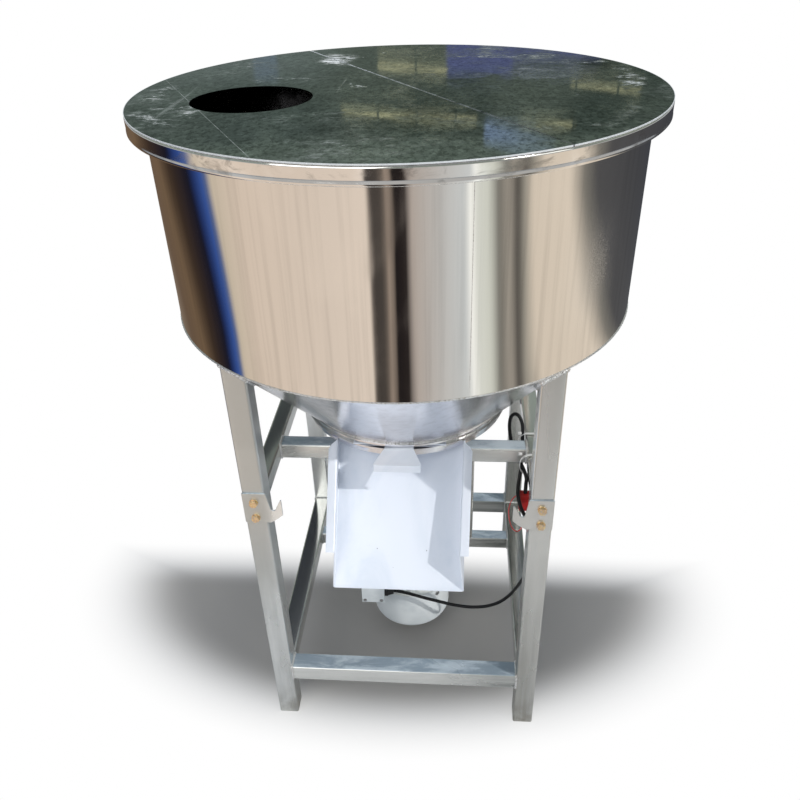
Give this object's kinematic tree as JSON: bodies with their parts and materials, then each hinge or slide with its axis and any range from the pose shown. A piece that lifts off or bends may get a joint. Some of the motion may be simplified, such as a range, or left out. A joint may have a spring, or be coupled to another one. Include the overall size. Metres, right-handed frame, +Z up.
{
  "type": "seed mixer",
  "caption": "Vertical seed mixer: round hopper with a split lid on a tube stand, bottom geared motor, slide gate and chute.",
  "frame": {"origin": "on the floor under the axis of the drum", "axes": "+Z up along the drum axis, -Y to the front where the chute is, +X to the right seen from the front"},
  "size_m": [0.8499, 0.85, 1.218],
  "materials": {
    "stainless": "brushed stainless",
    "lid_sheet": "polished stainless",
    "pale_sheet": "satin",
    "galvanised": "galvanised",
    "motor_paint": "semi-gloss paint",
    "machined_steel": "machined",
    "yellow_zinc": "yellow zinc plated",
    "black_plastic": "moulded",
    "red_plastic": "moulded",
    "cable_rubber": "satin",
    "seal_rubber": "matt",
    "red_wire": "satin"
  },
  "bodies": {
    "root": {"drum_wall": "stainless", "drum_rim": "stainless", "drum_cone": "stainless", "bottom_plate": "stainless", "gate_spacer": "galvanised", "gate_housing": "stainless", "chute": "pale_sheet", "lid_bar": "galvanised", "front_left_leg": "galvanised", "front_right_leg": "galvanised", "rear_left_leg": "galvanised", "rear_right_leg": "galvanised", "lower_front_rail": "galvanised", "lower_rear_rail": "galvanised", "lower_left_rail": "galvanised", "lower_right_rail": "galvanised", "lower_mid_rail": "galvanised", "upper_left_rail": "galvanised", "upper_right_rail": "galvanised", "front_cross_rail": "galvanised", "rear_cross_rail": "galvanised", "support_posts": "galvanised", "left_bag_hook": "galvanised", "right_bag_hook": "galvanised", "hook_bolts": "yellow_zinc", "motor_plate": "galvanised", "gearbox": "motor_paint", "gearbox_bolts": "machined_steel", "ring_pins": "machined_steel", "bearing_housing": "machined_steel", "housing_bolts": "machined_steel", "bearing_outer_ring": "machined_steel", "bearing_balls": "machined_steel", "shaft_seal": "seal_rubber", "motor_flange": "motor_paint", "motor_frame": "motor_paint", "motor_end_shield": "motor_paint", "motor_bolts": "machined_steel", "fan_cowl": "motor_paint", "terminal_box": "motor_paint", "terminal_cover": "motor_paint", "cable_gland": "black_plastic", "motor_cable": "cable_rubber", "cable_connector": "red_plastic", "wire_loop": "red_wire"},
    "agitator": {"output_shaft": "machined_steel", "shaft_coupling": "machined_steel", "bearing_inner_ring": "machined_steel", "mixer_shaft": "stainless", "scraper": "stainless", "lower_paddles": "stainless", "upper_paddles": "stainless"},
    "rotor": {"rotor": "machined_steel", "eccentric_sleeve": "machined_steel", "cooling_fan": "black_plastic"},
    "lower_disc": {"lower_cycloid_disc": "machined_steel"},
    "upper_disc": {"upper_cycloid_disc": "machined_steel"},
    "gate": {"slide_gate": "pale_sheet"},
    "lid_left_half": {"lid_left": "lid_sheet"},
    "lid_right_half": {"lid_right": "lid_sheet"}
  },
  "joints": [
    {"name": "mixer_spin", "type": "hinge", "parent": "root", "child": "agitator", "pos_m": [0, 0, 0.678], "axis": [0, 0, 1], "continuous": true},
    {"name": "rotor_spin", "type": "hinge", "parent": "root", "child": "rotor", "pos_m": [0, 0, 0.228], "axis": [0, 0, 1], "continuous": true},
    {"name": "lower_disc_roll", "type": "hinge", "parent": "rotor", "child": "lower_disc", "pos_m": [0.002, 0, 0.428], "axis": [0, 0, 1], "continuous": true},
    {"name": "upper_disc_roll", "type": "hinge", "parent": "rotor", "child": "upper_disc", "pos_m": [-0.002, 0, 0.448], "axis": [0, 0, 1], "continuous": true},
    {"name": "gate_slide", "type": "slide", "parent": "root", "child": "gate", "axis": [0, -1, 0], "range_m": [0, 0.07]},
    {"name": "lid_left_lift", "type": "slide", "parent": "root", "child": "lid_left_half", "axis": [0, 0, 1], "range_m": [0, 0.1]},
    {"name": "lid_right_lift", "type": "slide", "parent": "root", "child": "lid_right_half", "axis": [0, 0, 1], "range_m": [0, 0.1]}
  ],
  "couplings": [
    {"joint": "rotor_spin", "follows": "mixer_spin", "ratio": -17},
    {"joint": "lower_disc_roll", "follows": "mixer_spin", "ratio": 18},
    {"joint": "upper_disc_roll", "follows": "mixer_spin", "ratio": 18}
  ]
}
